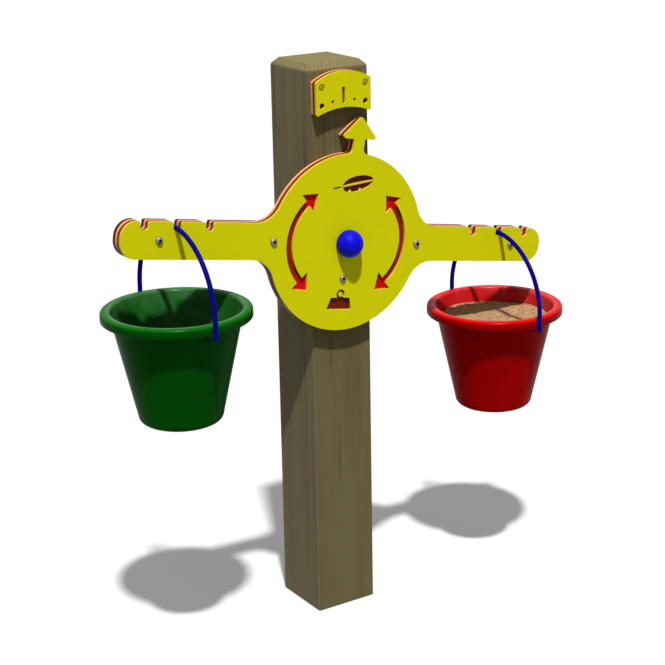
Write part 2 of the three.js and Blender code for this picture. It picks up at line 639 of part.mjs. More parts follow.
function bucket() {
  const foot = -BUCKET_TALL;
  const round = BUCKET_FOOT_ROUND;
  const turn = BUCKET_FOOT_RADIUS - round;
  const inside = BUCKET_TOP_RADIUS - BUCKET_WALL;
  const point = (radius, up) => new THREE.Vector2(radius, up);
  const profile = [
    point(0, foot),
    ...arc(turn, foot + round, round, -QUARTER, 0),
    point(BUCKET_TOP_RADIUS, -RIM_THICK),
    point(RIM_RADIUS - SKIRT_WALL, -RIM_THICK),
    point(RIM_RADIUS - SKIRT_WALL, -SKIRT_TALL),
    point(RIM_RADIUS, -SKIRT_TALL),
    ...arc(RIM_RADIUS - RIM_ROUND, -RIM_ROUND, RIM_ROUND, 0, QUARTER),
    ...arc(inside + RIM_THICK, -RIM_THICK, RIM_THICK, QUARTER, HALF),
    ...arc(turn, foot + round, round - BUCKET_WALL, 0, -QUARTER),
    point(0, foot + BUCKET_WALL),
  ];
  const shell = new THREE.LatheGeometry(profile, BUCKET_SIDES).rotateX(QUARTER);
  const reach = RIM_RADIUS + CUT_PAST;
  const pegHole = PEG / 2 + RUNNING_GAP;
  const behind = BUCKET_TOP_RADIUS + RUNNING_GAP;
  const nearHole = rod(pegHole, -reach, -behind, 0, -EAR_DROP);
  const farHole = rod(pegHole, behind, reach, 0, -EAR_DROP);
  return cut(shell, [nearHole, farHole]);
}

function addBucket(side, way, material, parent) {
  const along = way * HANG_ALONG;
  const hanger = new THREE.Group();
  hanger.position.set(
    along * Math.cos(STOP_ANGLE) + HANG_UP * Math.sin(STOP_ANGLE),
    BEAM_MIDDLE,
    PIVOT_HEIGHT - along * Math.sin(STOP_ANGLE) + HANG_UP * Math.cos(STOP_ANGLE),
  );
  parent.add(hanger);
  piece(`bail_${side}`, bail(), BLUE_PLASTIC, hanger);
  piece(`bucket_${side}`, bucket().translate(0, 0, -BAIL_RISE), material, hanger);
}

const balance = new THREE.Group();
addPost(balance);
addScale(balance);
addPivot(balance);
addBeam(balance);
addBucket('left', -1, GREEN_PLASTIC, balance);
addBucket('right', 1, RED_PLASTIC, balance);

export default balance;
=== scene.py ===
"""Looks of a playground bucket balance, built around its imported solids."""

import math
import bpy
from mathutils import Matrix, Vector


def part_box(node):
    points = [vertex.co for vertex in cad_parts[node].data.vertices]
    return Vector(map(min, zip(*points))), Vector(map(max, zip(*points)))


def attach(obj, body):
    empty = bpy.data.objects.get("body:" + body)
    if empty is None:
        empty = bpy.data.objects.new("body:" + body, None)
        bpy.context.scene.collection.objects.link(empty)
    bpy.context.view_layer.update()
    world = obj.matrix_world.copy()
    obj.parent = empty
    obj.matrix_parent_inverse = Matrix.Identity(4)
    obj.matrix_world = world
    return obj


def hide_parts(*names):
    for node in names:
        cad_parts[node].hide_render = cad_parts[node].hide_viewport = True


bl_info = {
    "name": "Bucket balance",
    "version": (1, 0, 0),
    "blender": (4, 5, 0),
    "location": "View3D > Sidebar > Balance",
    "description": "Dresses the packed bucket balance with rounded pieces and finishes",
    "category": "Object",
}

import bmesh
import bpy
from mathutils import Matrix, Vector, noise

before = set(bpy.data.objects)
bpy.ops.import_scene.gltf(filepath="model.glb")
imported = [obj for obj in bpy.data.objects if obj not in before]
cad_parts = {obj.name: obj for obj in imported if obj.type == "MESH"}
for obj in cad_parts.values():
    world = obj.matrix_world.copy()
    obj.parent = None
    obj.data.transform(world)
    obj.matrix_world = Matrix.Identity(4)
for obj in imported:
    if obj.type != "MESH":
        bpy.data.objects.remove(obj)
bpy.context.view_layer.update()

MM = 0.001
IMAGE_SIZE = 665
WELD = 1e-6
FLAT_ANGLE = math.radians(0.4)
SHARP_ANGLE = math.radians(25)
LONG_EDGE = 70 * MM
FACE_ON = 0.9
EDGE_ON = 0.1

END_GRAIN_DEPTH = 30 * MM
# Grey of the scuffs, and of the haze on the buckets' inner walls that is partly wear and partly painted
# sheen.
SCUFF_AND_SHEEN_GREY = (0.5, 0.5, 0.5)
SCUFF_SHARE = 0.05
WEAR_AND_SHEEN_LEAST = 0.02
WEAR_AND_SHEEN_PATCHES = 0.06
RIM_GLOSS = 0.08
INNER_GLOSS = 0.1
INNER_PAINTED_LIGHT = 0.8
# Painted shade on the cut edges of the sheets that face down.
UNDERSIDE_SHADE_SHARE = 0.92
UNDERSIDE_SHADE_TINT = 0.12
ENGRAVING_EDGE = 0.8 * MM
ENGRAVED_RADIUS = 150 * MM
SIGN_START = 86 * MM
SIGN_REACH = 62 * MM
ARROW_HEAD_START = 60 * MM
ARROW_HEAD_FULL = 66 * MM
# Painted light on the top of the bucket rims and on their inner walls.
PAINTED_LIGHT_TINT = 1.7
RIM_TOP_DEPTH = 8 * MM
SOCKET_EDGE = 0.5 * MM
SOCKET_STEEP = 0.06
SOCKET_FLAT = -0.97
# Painted shade in the sockets of the bolts.
SOCKET_PAINTED_SHADE = (0.02, 0.02, 0.018)
FLOOR_GLOW = 0.145
FLOOR_BOUNCE = 0.25
FLOOR_REACH = 30
SUN_STRENGTH = 3.9
SUN_TRAVEL = (0.217, 0.455, -1)
SUN_SOFTNESS = math.radians(2.4)
SKY_STRENGTH = 0.27

REST_TILT = math.radians(9.5)

CAMERA_PLACE = (-1.6054, -2.5206, 1.4861)
CAMERA_YAW = math.radians(32.8)
CAMERA_PITCH = math.radians(-17.7)
CAMERA_ROLL = math.radians(-1.1)
CAMERA_FOCAL_PIXELS = 1679.9
SENSOR_WIDTH = 36
CAMERA_CLIP_END = 200

WELL_GAP = 0.3 * MM
BALL_EASE = 0.6 * MM
PEG_INSET = 7 * MM
LIP_ROUND = 5.5 * MM
CROWN_ROUND = 6 * MM
SKIRT_EASE = 1 * MM
FOOT_HOLLOW = 1.5 * MM
FOOT_RING_INNER = 6 * MM
FOOT_RING_OUTER = 4 * MM
SAND_GAP = 0.4 * MM
SAND_THICK = 12 * MM
SAND_SWELL = 3 * MM
SAND_RIPPLE = 1.2 * MM
SAND_SWELLS_PER_METRE = 22
SAND_RIPPLES_PER_METRE = 70


def linear(red, green, blue):
    """Colour as the renderer takes it, from display values of 0 to 255."""
    def channel(value):
        value /= 255
        return value / 12.92 if value <= 0.04045 else ((value + 0.055) / 1.055) ** 2.4
    return (channel(red), channel(green), channel(blue))


def colour_property(name, description, red, green, blue):
    return bpy.props.FloatVectorProperty(
        name=name, description=description, subtype="COLOR", size=3,
        min=0, max=1, default=linear(red, green, blue))


def length_property(name, description, millimetres):
    return bpy.props.FloatProperty(
        name=name, description=description, unit="LENGTH", min=0, default=millimetres * MM)


class BalanceSizes(bpy.types.PropertyGroup):
    """Sizes of the details that are added to the solids."""
    post_edge: length_property("Post edge", "Rounding of the post's long edges", 3)
    board_edge: length_property("Board edge", "Rounding of the cut edges of the sheets", 1.4)
    sheet_skin: length_property("Sheet skin", "Thickness of the front skins of the sheets", 5)
    rear_skin: length_property("Rear skin", "Thickness of the rear skins of the sheets", 6.4)
    bolt_head: length_property("Bolt head", "Diameter of the button heads", 14)
    bolt_head_tall: length_property("Bolt head height", "Height of the button heads", 4.4)
    bolt_socket: length_property("Bolt socket", "Width across the flats of the sockets", 6)
    bolt_shank: length_property("Bolt shank", "Diameter of the bolts", 8)
    bail_rod: length_property("Bail rod", "Diameter of the bail rods", 8.5)
    bail_peg: length_property("Bail peg", "Diameter of the pegs that hold the bucket", 7)
    rim_radius: length_property("Rim radius", "Outer radius of the bucket rim", 131)
    bucket_top: length_property("Bucket top radius", "Radius of the wall under the rim", 115.5)
    bucket_foot: length_property("Bucket foot radius", "Radius of the wall at the foot", 75)
    bucket_wall: length_property("Bucket wall", "Thickness of the bucket wall", 3)
    foot_round: length_property("Foot rounding", "Rounding between wall and floor", 14)
    skirt: length_property("Rim skirt", "Height of the turned-down rim", 17)
    ear_drop: length_property("Ear drop", "Depth of the bail pegs below the rim", 9)
    sand_depth: length_property("Sand depth", "Depth of the sand below the rim", 28)
    ball_radius: length_property("Ball radius", "Radius of the ball over the pivot", 25)
    ball_standoff: length_property("Ball standoff", "Height of the ball's middle above its foot", 8)


class BalanceColours(bpy.types.PropertyGroup):
    """Colours of the finishes."""
    timber: colour_property("Timber", "Sawn timber of the post", 121, 111, 84)
    # Painted shade: a darker copy of the timber for the front face of the post.
    timber_front_shade: colour_property("Timber front", "Darker, weathered front of the post", 108, 98, 66)
    timber_end: colour_property("End grain", "Sawn top of the post", 128, 117, 78)
    yellow: colour_property("Yellow skin", "Skins of the sheets", 215, 212, 3)
    cut_skin: colour_property("Cut skin", "Front skins of the sheets where they are sawn", 232, 190, 64)
    cut_rear: colour_property("Cut rear skin", "Rear skins of the sheets where they are sawn", 236, 166, 108)
    core: colour_property("Red core", "Core of the sheets where it is sawn", 112, 44, 2)
    sign: colour_property("Sign", "Foot of the engraved signs and scale marks", 106, 34, 8)
    arrow: colour_property("Arrow", "Foot of the engraved arrows", 146, 36, 4)
    arrow_head: colour_property("Arrow head", "Foot of the heads of the arrows", 206, 8, 8)
    cap: colour_property("Screw cap", "Caps over the screws of the plate", 158, 154, 44)
    dark_sheet: colour_property("Rear sheet", "Rear board of the beam", 72, 26, 3)
    green: colour_property("Green", "Left bucket", 2, 74, 4)
    red: colour_property("Red", "Right bucket", 162, 1, 3)
    blue: colour_property("Blue", "Ball caps", 10, 10, 204)
    bail: colour_property("Bail", "Bails", 11, 8, 122)
    steel: colour_property("Steel", "Plated fasteners", 134, 132, 124)
    bearing: colour_property("Bearing", "Bush and thrust washer", 224, 221, 210)
    sand: colour_property("Sand", "Sand in the right bucket", 178, 141, 102)
    floor: colour_property("Floor", "Pale floor", 211, 211, 211)


def sizes():
    return bpy.context.scene.balance_sizes


def colours():
    return bpy.context.scene.balance_colours


class Wire:
    """A shader socket that takes part in Python expressions."""

    def __init__(self, tree, socket):
        self.tree = tree
        self.socket = socket

    def node(self, kind, settings=None, inputs=None, output=0):
        """Adds a node, sets its settings, then its sockets, and wraps one output."""
        made = self.tree.nodes.new(kind)
        for name, value in (settings or {}).items():
            if name == "stops":
                self.set_stops(made.color_ramp, value)
            else:
                setattr(made, name, value)
        for name, value in (inputs or {}).items():
            socket = made.inputs[name]
            if isinstance(value, Wire):
                self.tree.links.new(value.socket, socket)
            else:
                socket.default_value = value
        return Wire(self.tree, made.outputs[output])

    @staticmethod
    def set_stops(ramp, stops):
        while len(ramp.elements) < len(stops):
            ramp.elements.new(1)
        for element, (place, value) in zip(ramp.elements, stops):
            element.position = place
            element.color = (*value, 1) if len(value) == 3 else value

    def maths(self, operation, first, second):
        return self.node("ShaderNodeMath", {"operation": operation}, {0: first, 1: second})

    def __add__(self, other):
        return self.maths("ADD", self, other)

    def __radd__(self, other):
        return self.maths("ADD", other, self)

    def __sub__(self, other):
        return self.maths("SUBTRACT", self, other)

    def __rsub__(self, other):
        return self.maths("SUBTRACT", other, self)

    def __mul__(self, other):
        return self.maths("MULTIPLY", self, other)

    def __rmul__(self, other):
        return self.maths("MULTIPLY", other, self)

    def __gt__(self, other):
        return self.maths("GREATER_THAN", self, other)

    def __lt__(self, other):
        return self.maths("LESS_THAN", self, other)

    def part(self, axis):
        """One component of a vector."""
        return self.node("ShaderNodeSeparateXYZ", inputs={0: self}, output="XYZ".index(axis))

    def stretched(self, scale, turn=(0, 0, 0), shift=(0, 0, 0)):
        return self.node("ShaderNodeMapping", inputs={
            "Vector": self, "Location": shift, "Rotation": turn, "Scale": scale})

    def noise(self, scale, detail=3, roughness=0.5, distortion=0):
        return self.node("ShaderNodeTexNoise", inputs={
            "Vector": self, "Scale": scale, "Detail": detail,
            "Roughness": roughness, "Distortion": distortion})

    def ramp(self, *stops):
        return self.node("ShaderNodeValToRGB", {"stops": stops}, {0: self})

    def mask(self, low, high):
        """0 below low, 1 above high, smooth in between."""
        return self.node("ShaderNodeMapRange", {"interpolation_type": "SMOOTHSTEP"}, {
            "Value": self, "From Min": low, "From Max": high})

    def mix(self, first, second):
        """Blend of two colours, with this value as its factor."""
        values = {0: self}
        for index, value in ((6, first), (7, second)):
            values[index] = value if isinstance(value, Wire) else (*value, 1)
        return self.node("ShaderNodeMix", {"data_type": "RGBA"}, values, output=2)


class Finish:
    """A new material with one principled shader and its object coordinates."""

    def __init__(self, name, specular, **constants):
        self.material = bpy.data.materials.new(name)
        self.material.use_nodes = True
        self.tree = self.material.node_tree
        self.shader = self.tree.nodes["Principled BSDF"]
        self.shader.inputs["Specular IOR Level"].default_value = specular
        for socket, value in constants.items():
            self.shader.inputs[socket.replace("_", " ").title()].default_value = value
        start = Wire(self.tree, None)
        self.place = start.node("ShaderNodeTexCoord", output=3)
        self.facing = start.node("ShaderNodeTexCoord", output=1)

    def feed(self, **sockets):
        for name, wire in sockets.items():
            socket = self.shader.inputs[name.replace("_", " ").title()]
            self.tree.links.new(wire.socket, socket)

    def bump(self, height, distance, strength=1):
        normal = height.node("ShaderNodeBump", inputs={
            "Height": height, "Distance": distance, "Strength": strength})
        self.feed(normal=normal)


def tint(colour, factor):
    return tuple(min(1, channel * factor) for channel in colour)


def timber_finish():
    """Sawn softwood: long streaks, growth bands, drying checks, a paler end and painted shade on the front
    face.
    """
    finish = Finish("timber", 0.1, roughness=0.85)
    place = finish.place
    streaks = place.stretched((1, 1, 0.035)).noise(210, 6, 0.62, 0.3)
    bands = place.stretched((1, 1, 0.05), shift=(0.3, 0.1, 0)).noise(34, 4, 0.55, 0.6)
    blotches = place.stretched((1, 1, 0.22), shift=(0.1, 0.6, 0)).noise(17, 3, 0.6, 0.5)
    tone = streaks * 0.28 + bands * 0.4 + blotches * 0.32

    def grain(colour):
        red, green, blue = colour
        brown = (red * 0.88, green * 0.78, blue * 0.76)
        olive = (red * 1.06, green * 1.16, blue * 1.04)
        return tone.ramp((0.36, brown), (0.5, tuple(colour)), (0.64, olive))

    # Painted shade: faces turned to the front take the darker front colour.
    front = (0 - finish.facing.part("Y")).mask(0.5, 0.9)
    sides = front.mix(grain(colours().timber), grain(colours().timber_front_shade))
    splits = place.stretched((1, 1, 0.02), shift=(0.7, 0.2, 0.4)).noise(120, 2, 0.4).mask(0.68, 0.74)
    body = (splits * 0.45).mix(sides, tint(colours().timber_front_shade, 0.5))
    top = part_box("post")[1][2]
    end_mask = finish.facing.part("Z").mask(0.3, 0.6) * (place.part("Z") > top - END_GRAIN_DEPTH)
    rings = place.stretched((1, 1, 1), shift=(0.09, 0.03, 0))
    rings = rings.node("ShaderNodeTexWave", {"wave_type": "RINGS", "rings_direction": "Z"}, {
        "Vector": rings, "Scale": 42, "Distortion": 2.2, "Detail": 3, "Detail Scale": 2})
    end = tuple(colours().timber_end)
    end_grain = rings.node("ShaderNodeRGBToBW", inputs={0: rings})
    end_grain = end_grain.ramp((0, tint(end, 0.82)), (0.5, end), (1, tint(end, 1.1)))
    finish.feed(base_color=end_mask.mix(body, end_grain), roughness=0.78 + tone * 0.2)
    finish.bump(streaks * 0.7 - splits, 0.0004)
    return finish.material


def sheet_finish(name, front, thickness, engraved, inner=None):
    """Two-colour sheet: yellow skins on a red core that shows in cuts and engravings; cut edges that face
    down are darkened as painted shade.
    """
    finish = Finish(name, 0.06, roughness=0.45)
    place = finish.place
    depth = place.part("Y") - front
    core_end = thickness - sizes().rear_skin
    core = (depth > sizes().sheet_skin) * (depth < core_end)
    inside = (depth > ENGRAVING_EDGE) * (depth < core_end)
    flat = finish.facing.part("Y").maths("ABSOLUTE", finish.facing.part("Y"), 0).mask(0.6, 0.9)
    cloud = place.noise(26, 3, 0.5)
    speck = place.noise(900, 2, 0.6)
    yellow = tuple(colours().yellow)
    face = (cloud * 0.6 + speck * 0.4).ramp((0.3, tint(yellow, 0.97)), (0.7, tint(yellow, 1.03)))
    saw = place.stretched((1, 0.08, 1)).noise(700, 3, 0.6)

    def sawn(colour):
        return saw.ramp((0.3, tint(colour, 0.86)), (0.7, tint(colour, 1.08)))

    cut = (depth > core_end).mix(sawn(colours().cut_skin), sawn(colours().cut_rear))
    sawn_core = saw.ramp((0.3, tint(colours().core, 0.8)), (0.7, tint(colours().core, 1.15)))
    # Painted shade: cut edges that face down are darkened almost to black.
    under_shade = (0 - finish.facing.part("Z")).mask(0.1, 0.5) * UNDERSIDE_SHADE_SHARE
    edge = under_shade.mix(core.mix(cut, sawn_core), tint(colours().core, UNDERSIDE_SHADE_TINT))
    floor = speck.ramp((0.3, tint(engraved, 0.88)), (0.7, tint(engraved, 1.1)))
    pocket = inside * flat
    if inner:
        disc, head, sign = inner(place)
        floor = head.mix(floor, tuple(colours().arrow_head))
        floor = sign.mix(floor, tuple(colours().sign))
        pocket = pocket * disc
    layers = pocket.mix(flat.mix(edge, face), floor)
    scuffs = place.stretched((1, 1, 0.2), turn=(0, 0.6, 0)).noise(160, 4, 0.7).mask(0.62, 0.8)
    finish.feed(base_color=layers, roughness=0.4 + speck * 0.14 + scuffs * 0.15)
    finish.bump(speck + saw * (1 - flat) * 0.8, 0.00012)
    return finish.material


def dark_sheet_finish():
    """Plain dark sheet of the rear board, faintly clouded and specked."""
    finish = Finish("dark_sheet", 0.06, roughness=0.5)
    dark = tuple(colours().dark_sheet)
    speck = finish.place.noise(800, 3, 0.6)
    cloud = finish.place.noise(22, 3)
    tone = speck * 0.4 + cloud * 0.6
    finish.feed(base_color=tone.ramp((0.3, tint(dark, 0.82)), (0.7, tint(dark, 1.2))),
                roughness=0.45 + speck * 0.15)
    finish.bump(speck, 0.00012)
    return finish.material


def plastic_finish(name, colour, roughness, specular=0.015, painted_light_and_gloss=None):
    """Moulded plastic: faint flow clouds, fine moulding grain and light scuffs; on chosen parts painted
    light, and a grey haze that is partly wear and partly painted sheen.
    """
    finish = Finish(name, specular, roughness=roughness, coat_roughness=0.2)
    colour = tuple(colour)
    cloud = finish.place.noise(18, 3, 0.5, 0.4)
    grain = finish.place.noise(1500, 2, 0.5)
    scuff = finish.place.stretched((1, 1, 0.15), turn=(0.4, 0.2, 0)).noise(220, 4, 0.7).mask(0.63, 0.82)
    tone = cloud.ramp((0.3, tint(colour, 0.92)), (0.7, tint(colour, 1.08)))
    worn = (scuff * SCUFF_SHARE).mix(tone, SCUFF_AND_SHEEN_GREY)
    if painted_light_and_gloss:
        bright, wear_and_sheen_haze, gloss = painted_light_and_gloss(finish)
        # Painted light: the masked parts take a brighter copy of the plastic's colour.
        worn = bright.mix(worn, tint(colour, PAINTED_LIGHT_TINT))
        # Grey haze on the inner wall: partly patchy wear, partly painted sheen.
        wear_and_sheen_haze = wear_and_sheen_haze * (WEAR_AND_SHEEN_LEAST + cloud.mask(0.42, 0.66) * WEAR_AND_SHEEN_PATCHES)
        worn = wear_and_sheen_haze.mix(worn, SCUFF_AND_SHEEN_GREY)
        finish.feed(coat_weight=gloss)
    finish.feed(base_color=worn, roughness=roughness - 0.05 + grain * 0.08 + scuff * 0.2)
    finish.bump(grain + cloud * 0.4, 0.00008)
    return finish.material


def steel_finish(name, crown=None):
    """Zinc-plated steel with a mottled sheen; below the crown of a bolt its socket is painted dark as shade.
    """
    finish = Finish(name, 0.4, metallic=0.7, roughness=0.5)
    steel = tuple(colours().steel)
    mottle = finish.place.noise(420, 4, 0.6)
    plated = mottle.ramp((0.3, tint(steel, 0.75)), (0.7, tint(steel, 1.15)))
    if crown is not None:
        # Painted shade: the walls and floor of a bolt's socket are coloured near black.
        outward = finish.facing.part("Y")
        steep = outward.maths("ABSOLUTE", outward, 0) < SOCKET_STEEP
        hollow = (finish.place.part("Y") > crown + SOCKET_EDGE) * (steep + (outward < SOCKET_FLAT))
        plated = hollow.mix(plated, SOCKET_PAINTED_SHADE)
    finish.feed(base_color=plated, roughness=0.38 + mottle * 0.25)
    finish.bump(finish.place.noise(2200, 2), 0.00005)
    return finish.material


def sand_finish():
    """Dry sand: pale and dark grains over soft patches."""
    finish = Finish("sand", 0.02, roughness=0.95)
    sand = tuple(colours().sand)
    grain = finish.place.node("ShaderNodeTexVoronoi", {"feature": "F1"}, {
        "Vector": finish.place, "Scale": 380}, output=1)
    grain = grain.node("ShaderNodeRGBToBW", inputs={0: grain})
    patch = finish.place.noise(75, 4, 0.7)
    tone = grain * 0.4 + patch * 0.6
    finish.feed(base_color=tone.ramp(
        (0.3, tint(sand, 0.5)), (0.5, sand), (0.72, tint(sand, 1.3))), roughness=0.88 + grain * 0.1)
    finish.bump(grain + finish.place.noise(140, 4) * 2, 0.0011)
    return finish.material


def seen_by_camera(light):
    """1 for what the camera sees, straight or in gloss or glass."""
    outputs = light.socket.node.outputs
    seen = light.maths("MAXIMUM", light, Wire(light.tree, outputs["Is Glossy Ray"]))
    return seen.maths("MAXIMUM", seen, Wire(light.tree, outputs["Is Transmission Ray"]))


def floor_finish():
    """Pale floor that keeps the shadow and otherwise meets the white surround."""
    finish = Finish("floor", 0, roughness=0.9)
    tree = finish.tree
    patch = finish.place.noise(3, 2)
    pale = tuple(colours().floor)
    finish.feed(base_color=patch.ramp((0.3, tint(pale, 0.985)), (0.7, tint(pale, 1.01))))
    light = finish.place.node("ShaderNodeLightPath")
    seen = seen_by_camera(light)
    pale_floor = Wire(tree, finish.shader.outputs[0])
    glow = light.node("ShaderNodeEmission", inputs={"Strength": FLOOR_GLOW})
    bright = light.node("ShaderNodeAddShader", inputs={0: pale_floor, 1: glow})
    bounce = (FLOOR_BOUNCE, FLOOR_BOUNCE, FLOOR_BOUNCE, 1)
    dim = light.node("ShaderNodeBsdfDiffuse", inputs={"Color": bounce})
    whole = light.node("ShaderNodeMixShader", inputs={0: seen, 1: dim, 2: bright})
    tree.links.new(whole.socket, tree.nodes["Material Output"].inputs["Surface"])
    return finish.material


def new_piece(name, mesh, body, material, replaced=()):
    """Links a finished mesh as a piece that moves with a body."""
    mesh.materials.clear()
    mesh.materials.append(material)
    piece = bpy.data.objects.new(name, mesh)
    bpy.context.scene.collection.objects.link(piece)
    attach(piece, body)
    if replaced:
        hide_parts(*replaced)
    return piece


def dress(nodes, material):
    """Gives CAD nodes that stay in view their finish."""
    for node in nodes:
        node_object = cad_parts[node]
        node_object.data.materials.clear()
        node_object.data.materials.append(material)


def shaded(mesh, angle=35):
    mesh.shade_smooth()
    mesh.set_sharp_from_angle(angle=math.radians(angle))
    return mesh


def finished_mesh(name, work):
    """Plain mesh of a working object with its modifiers, which is then removed."""
    graph = bpy.context.evaluated_depsgraph_get()
    mesh = bpy.data.meshes.new_from_object(work.evaluated_get(graph))
    mesh.name = name
    bpy.data.objects.remove(work)
    return mesh


def work_object(name, mesh):
    work = bpy.data.objects.new(name, mesh)
    bpy.context.scene.collection.objects.link(work)
    return work


def rounded_copy(name, node, width, segments, wanted):
    """Copy of a solid whose wanted edges are rounded."""
    shape = bmesh.new()
    shape.from_mesh(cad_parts[node].data)
    bmesh.ops.remove_doubles(shape, verts=shape.verts, dist=WELD)
    bmesh.ops.dissolve_limit(shape, angle_limit=FLAT_ANGLE, verts=shape.verts, edges=shape.edges)
    weight = shape.edges.layers.float.new("bevel_weight_edge")
    for edge in shape.edges:
        if len(edge.link_faces) == 2 and wanted(edge):
            edge[weight] = 1
    mesh = bpy.data.meshes.new(name)
    shape.to_mesh(mesh)
    shape.free()
    work = work_object(name, shaded(mesh, 30))
    bevel = work.modifiers.new("Rounding", "BEVEL")
    bevel.limit_method = "WEIGHT"
    bevel.width = width
    bevel.segments = segments
    bevel.use_clamp_overlap = True
    flats = work.modifiers.new("Flat faces", "WEIGHTED_NORMAL")
    flats.keep_sharp = True
    flats.weight = 100
    return finished_mesh(name, work)


def face_to_side(edge):
    """True for the edges between a sheet's flat faces and its cut sides."""
    first, second = (abs(face.normal.y) for face in edge.link_faces)
    return max(first, second) > FACE_ON and min(first, second) < EDGE_ON


def long_and_sharp(edge):
    return edge.calc_length() > LONG_EDGE and edge.calc_face_angle(0) > SHARP_ANGLE


def arc(across, up, radius, start, end, count):
    step = (end - start) / count
    return [(across + radius * math.cos(start + step * i), up + radius * math.sin(start + step * i))
            for i in range(count + 1)]


def turned(name, profile, sides, axis="Z"):
    """Closed shape turned about an axis from a profile of radius and height."""
    shape = bmesh.new()
    rows = []
    for radius, up in profile:
        if radius < WELD:
            rows.append([shape.verts.new((0, 0, up))])
            continue
        turn = 2 * math.pi / sides
        rows.append([shape.verts.new((radius * math.cos(turn * i), radius * math.sin(turn * i), up))
                     for i in range(sides)])
    pairs = list(zip(rows, rows[1:]))
    if len(rows[0]) > 1 and len(rows[-1]) > 1:
        pairs.append((rows[-1], rows[0]))
    for low, high in pairs:
        for i in range(sides):
            j = (i + 1) % sides
            corners = [low[i % len(low)], low[j % len(low)], high[j % len(high)], high[i % len(high)]]
            unique = list(dict.fromkeys(corners))
            if len(unique) > 2:
                shape.faces.new(unique)
    bmesh.ops.recalc_face_normals(shape, faces=shape.faces)
    if axis == "Y":
        bmesh.ops.rotate(shape, verts=shape.verts, matrix=Matrix.Rotation(math.pi / 2, 3, "X"))
    mesh = bpy.data.meshes.new(name)
    shape.to_mesh(mesh)
    shape.free()
    return mesh


def moved(mesh, place):
    mesh.transform(Matrix.Translation(place))
    return mesh


def joined(name, *meshes):
    shape = bmesh.new()
    for mesh in meshes:
        shape.from_mesh(mesh)
        bpy.data.meshes.remove(mesh)
    whole = bpy.data.meshes.new(name)
    shape.to_mesh(whole)
    shape.free()
    return whole


def new_tree(name, numbers=(), others=()):
    """Geometry tree with a geometry input and output and named inputs."""
    tree = bpy.data.node_groups.new(name, "GeometryNodeTree")
    tree.interface.new_socket("Geometry", in_out="INPUT", socket_type="NodeSocketGeometry")
    for label in numbers:
        tree.interface.new_socket(label, in_out="INPUT", socket_type="NodeSocketFloat")
    for label, kind in others:
        tree.interface.new_socket(label, in_out="INPUT", socket_type=kind)
    tree.interface.new_socket("Geometry", in_out="OUTPUT", socket_type="NodeSocketGeometry")
    return tree, tree.nodes.new("NodeGroupInput"), tree.nodes.new("NodeGroupOutput")


def grow(name, mesh, tree, values):
    """Runs a geometry tree on a mesh and returns the plain result."""
    work = work_object(name, mesh)
    modifier = work.modifiers.new("Grow", "NODES")
    modifier.node_group = tree
    for item in tree.interface.items_tree:
        if item.in_out == "INPUT" and item.name in values:
            modifier[item.identifier] = values[item.name]
    return finished_mesh(name, work)


def rod_tree():
    """A round rod along the edges of a mesh."""
    tree, start, end = new_tree("rod_along_path", ("Rod Radius",), (("Material", "NodeSocketMaterial"),))
    path = tree.nodes.new("GeometryNodeMeshToCurve")
    section = tree.nodes.new("GeometryNodeCurvePrimitiveCircle")
    section.inputs["Resolution"].default_value = 28
    sweep = tree.nodes.new("GeometryNodeCurveToMesh")
    sweep.inputs["Fill Caps"].default_value = True
    smooth = tree.nodes.new("GeometryNodeSetShadeSmooth")
    real = tree.nodes.new("GeometryNodeRealizeInstances")
    paint = tree.nodes.new("GeometryNodeSetMaterial")
    link = tree.links.new
    link(start.outputs["Geometry"], path.inputs["Mesh"])
    link(start.outputs["Rod Radius"], section.inputs["Radius"])
    link(path.outputs["Curve"], sweep.inputs["Curve"])
    link(section.outputs["Curve"], sweep.inputs["Profile Curve"])
    link(sweep.outputs["Mesh"], smooth.inputs["Geometry"])
    link(smooth.outputs["Geometry"], real.inputs["Geometry"])
    link(real.outputs["Geometry"], paint.inputs["Geometry"])
    link(start.outputs["Material"], paint.inputs["Material"])
    link(paint.outputs["Geometry"], end.inputs["Geometry"])
    return tree


def repeat_tree():
    """Copies of one object, set at the points of a mesh."""
    tree, start, end = new_tree("copies_at_points", (), (
        ("Copied", "NodeSocketObject"), ("Material", "NodeSocketMaterial")))
    copied = tree.nodes.new("GeometryNodeObjectInfo")
    place = tree.nodes.new("GeometryNodeInstanceOnPoints")
    real = tree.nodes.new("GeometryNodeRealizeInstances")
    paint = tree.nodes.new("GeometryNodeSetMaterial")
    link = tree.links.new
    link(start.outputs["Geometry"], place.inputs["Points"])
    link(start.outputs["Copied"], copied.inputs["Object"])
    link(copied.outputs["Geometry"], place.inputs["Instance"])
    link(place.outputs["Instances"], real.inputs["Geometry"])
    link(real.outputs["Geometry"], paint.inputs["Geometry"])
    link(start.outputs["Material"], paint.inputs["Material"])
    link(paint.outputs["Geometry"], end.inputs["Geometry"])
    return tree


def polyline(name, *paths):
    mesh = bpy.data.meshes.new(name)
    points = [point for path in paths for point in path]
    edges = []
    first = 0
    for path in paths:
        edges += [(first + i, first + i + 1) for i in range(len(path) - 1)]
        first += len(path)
    mesh.from_pydata(points, edges, [])
    return mesh


def middle(node):
    low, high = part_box(node)
    return tuple((a + b) / 2 for a, b in zip(low, high))


